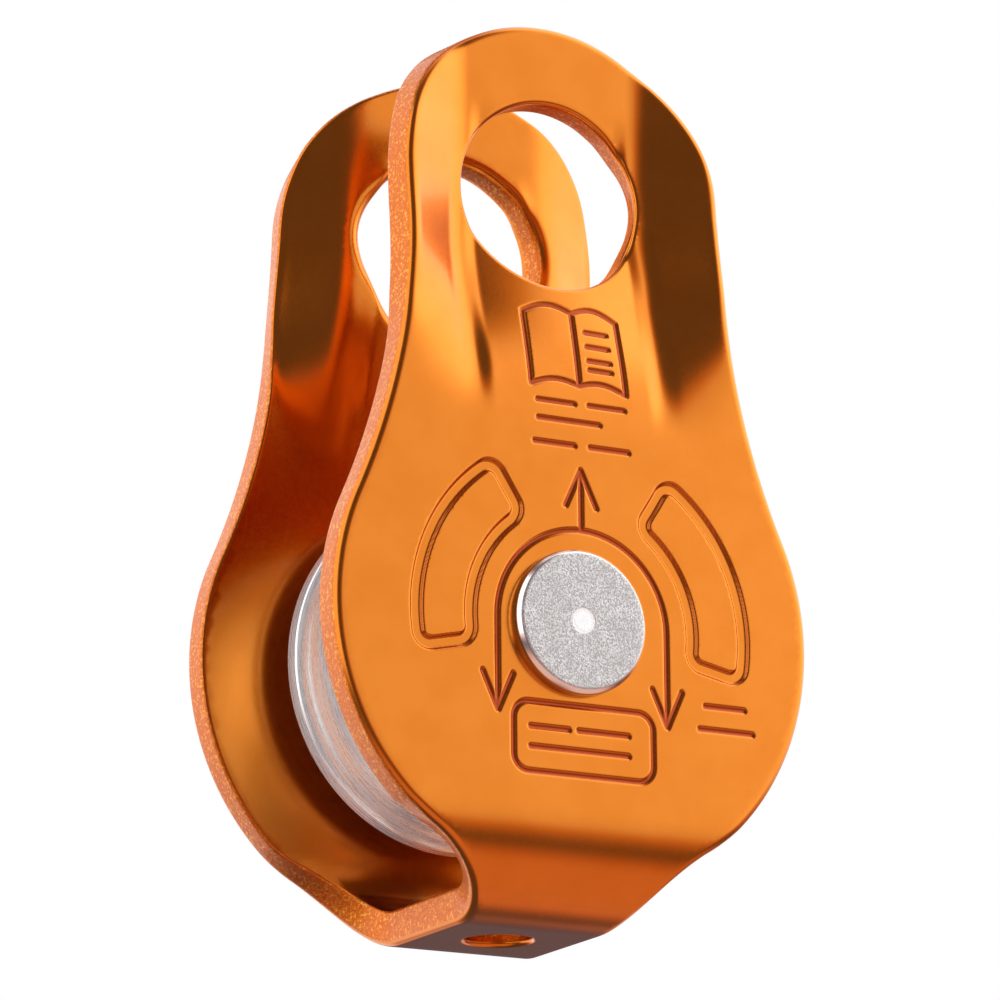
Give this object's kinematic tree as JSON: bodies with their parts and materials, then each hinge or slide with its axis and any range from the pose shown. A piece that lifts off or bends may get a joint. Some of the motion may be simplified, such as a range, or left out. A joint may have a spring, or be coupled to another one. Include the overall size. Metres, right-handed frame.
{
  "type": "rope pulley",
  "caption": "Compact rope pulley: a bent one-piece frame with a large attachment hole carries a grooved sheave that turns on a riveted axle.",
  "frame": {"origin": "centre of the attachment hole, midway between the side plates", "axes": "+Z from the axle towards the attachment hole, +Y along the axle from the front plate to the rear plate, +X to the right seen from the front"},
  "size_m": [0.0474, 0.0322, 0.0824],
  "materials": {
    "plates": "polished, orange anodised",
    "sheave": "turned, bright",
    "bushing": "self-lubricating polymer",
    "axle": "tumbled grey steel",
    "washers": "hard polymer"
  },
  "bodies": {
    "frame": {"side_plates": "plates", "axle": "axle"},
    "sheave": {"sheave": "sheave", "bushing": "bushing"},
    "front_washer": {"washer_front": "washers"},
    "rear_washer": {"washer_rear": "washers"}
  },
  "joints": [
    {"name": "sheave_spin", "type": "hinge", "parent": "frame", "child": "sheave", "pos_m": [0, 0, -0.04035], "axis": [0, 1, 0], "continuous": true},
    {"name": "front_washer_spin", "type": "hinge", "parent": "frame", "child": "front_washer", "pos_m": [0, 0, -0.04035], "axis": [0, 1, 0], "continuous": true},
    {"name": "rear_washer_spin", "type": "hinge", "parent": "frame", "child": "rear_washer", "pos_m": [0, 0, -0.04035], "axis": [0, 1, 0], "continuous": true}
  ]
}
